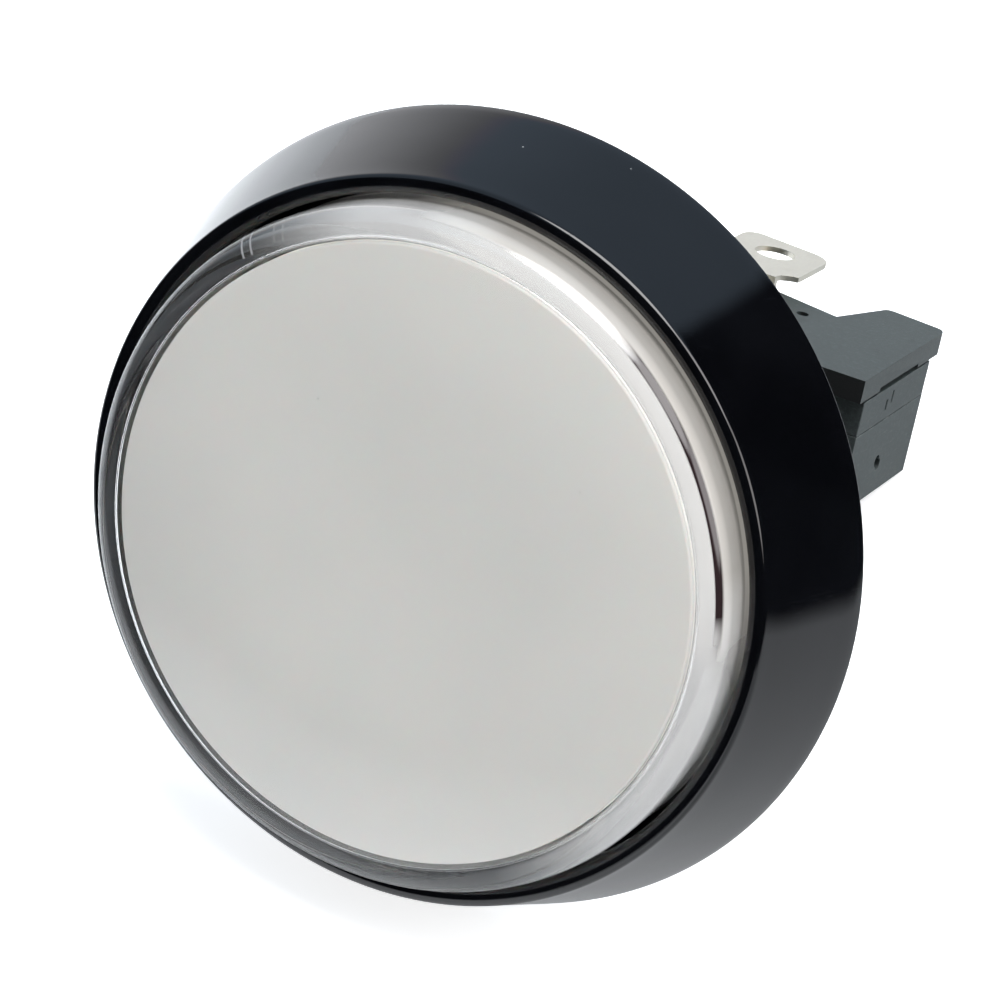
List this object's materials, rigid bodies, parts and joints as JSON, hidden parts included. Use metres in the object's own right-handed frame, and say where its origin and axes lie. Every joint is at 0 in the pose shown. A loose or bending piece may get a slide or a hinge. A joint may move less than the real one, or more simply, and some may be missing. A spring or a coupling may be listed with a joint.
{
  "type": "illuminated panel push button",
  "caption": "Round flat-topped illuminated quiz buzzer push button with flared bezel, sprung clear lens, lamp holder and snap-action switch behind the panel.",
  "frame": {"origin": "centre of the lens's flat outer face, on the button's axis, at rest", "axes": "+Z along the button's axis, out of the lens towards the user; X along the switch's length, -X towards its common terminal; +Y towards the holder's cover plate"},
  "size_m": [0.06, 0.06, 0.0818],
  "materials": {
    "bezel_black": "polished black ABS",
    "lens_clear": "clear polished polycarbonate",
    "diffuser_white": "milky light grey-white diffuser",
    "plunger_white": "moulded off-white ABS",
    "spring_steel": "drawn spring wire",
    "nut_black": "moulded black nylon",
    "washer_nylon": "natural nylon sheet",
    "holder_grey": "moulded dark grey ABS with a fine texture",
    "yoke_white": "moulded acetal",
    "terminal_nickel": "nickel-plated brass strip",
    "lamp_base_white": "moulded white nylon",
    "lamp_dome_clear": "clear epoxy",
    "lamp_lead_tin": "tinned wire",
    "switch_case_black": "moulded phenolic with a fine texture",
    "switch_button_black": "moulded black nylon",
    "switch_brass": "stamped brass strip",
    "contact_silver": "silver alloy rivet",
    "blade_bronze": "phosphor bronze leaf"
  },
  "bodies": {
    "bezel": {"bezel_body": "bezel_black", "return_spring": "spring_steel"},
    "plunger": {"plunger": "plunger_white", "lens_cap": "lens_clear", "diffuser_disc": "diffuser_white"},
    "holder": {"lamp_holder": "holder_grey", "lamp_terminal_a": "terminal_nickel", "lamp_terminal_b": "terminal_nickel", "lamp_base": "lamp_base_white", "lamp_dome": "lamp_dome_clear", "lamp_lead_a": "lamp_lead_tin", "lamp_lead_b": "lamp_lead_tin", "switch_base": "switch_case_black", "switch_cover": "switch_case_black", "com_terminal": "switch_brass", "no_terminal": "switch_brass", "nc_terminal": "switch_brass", "nc_contact": "contact_silver", "no_contact": "contact_silver", "blade_spring": "spring_steel"},
    "yoke": {"push_yoke": "yoke_white"},
    "switch_pin": {"switch_button": "switch_button_black"},
    "blade": {"switch_blade": "blade_bronze", "moving_contact": "contact_silver"},
    "nut_run_ring": {"nut_washer": "washer_nylon"},
    "nut": {"mounting_nut": "nut_black"}
  },
  "joints": [
    {"name": "press", "type": "slide", "parent": "bezel", "child": "plunger", "axis": [0, 0, -1], "range_m": [0, 0.002], "stiffness_N_per_m": 250, "springref_m": -0.004, "deforming": ["return_spring"]},
    {"name": "holder_twist", "type": "hinge", "parent": "bezel", "child": "holder", "pos_m": [0, 0, -0.0416], "axis": [0, 0, 1], "range_deg": [-42, 0]},
    {"name": "yoke_slide", "type": "slide", "parent": "holder", "child": "yoke", "axis": [0, 0, -1], "range_m": [0, 0.002]},
    {"name": "switch_press", "type": "slide", "parent": "holder", "child": "switch_pin", "axis": [0, 0, -1], "range_m": [0, 0.002], "deforming": ["blade_spring"]},
    {"name": "blade_swing", "type": "hinge", "parent": "holder", "child": "blade", "pos_m": [-0.0086, -0.0027, -0.0604], "axis": [0, 1, 0], "range_deg": [0, 9.2]},
    {"name": "nut_run", "type": "slide", "parent": "bezel", "child": "nut_run_ring", "axis": [0, 0, -1], "range_m": [-0.0078, 0.0095]},
    {"name": "nut_spin", "type": "hinge", "parent": "nut_run_ring", "child": "nut", "pos_m": [0, 0, -0.0229], "axis": [0, 0, -1], "range_deg": [-945, 1150]}
  ],
  "couplings": [
    {"joint": "yoke_slide", "follows": "press", "ratio": 1},
    {"joint": "switch_press", "follows": "press", "ratio": 1},
    {"joint": "blade_swing", "follows": "press", "rad_per_m": 80},
    {"joint": "nut_spin", "follows": "nut_run", "rad_per_m": 2094.4}
  ]
}
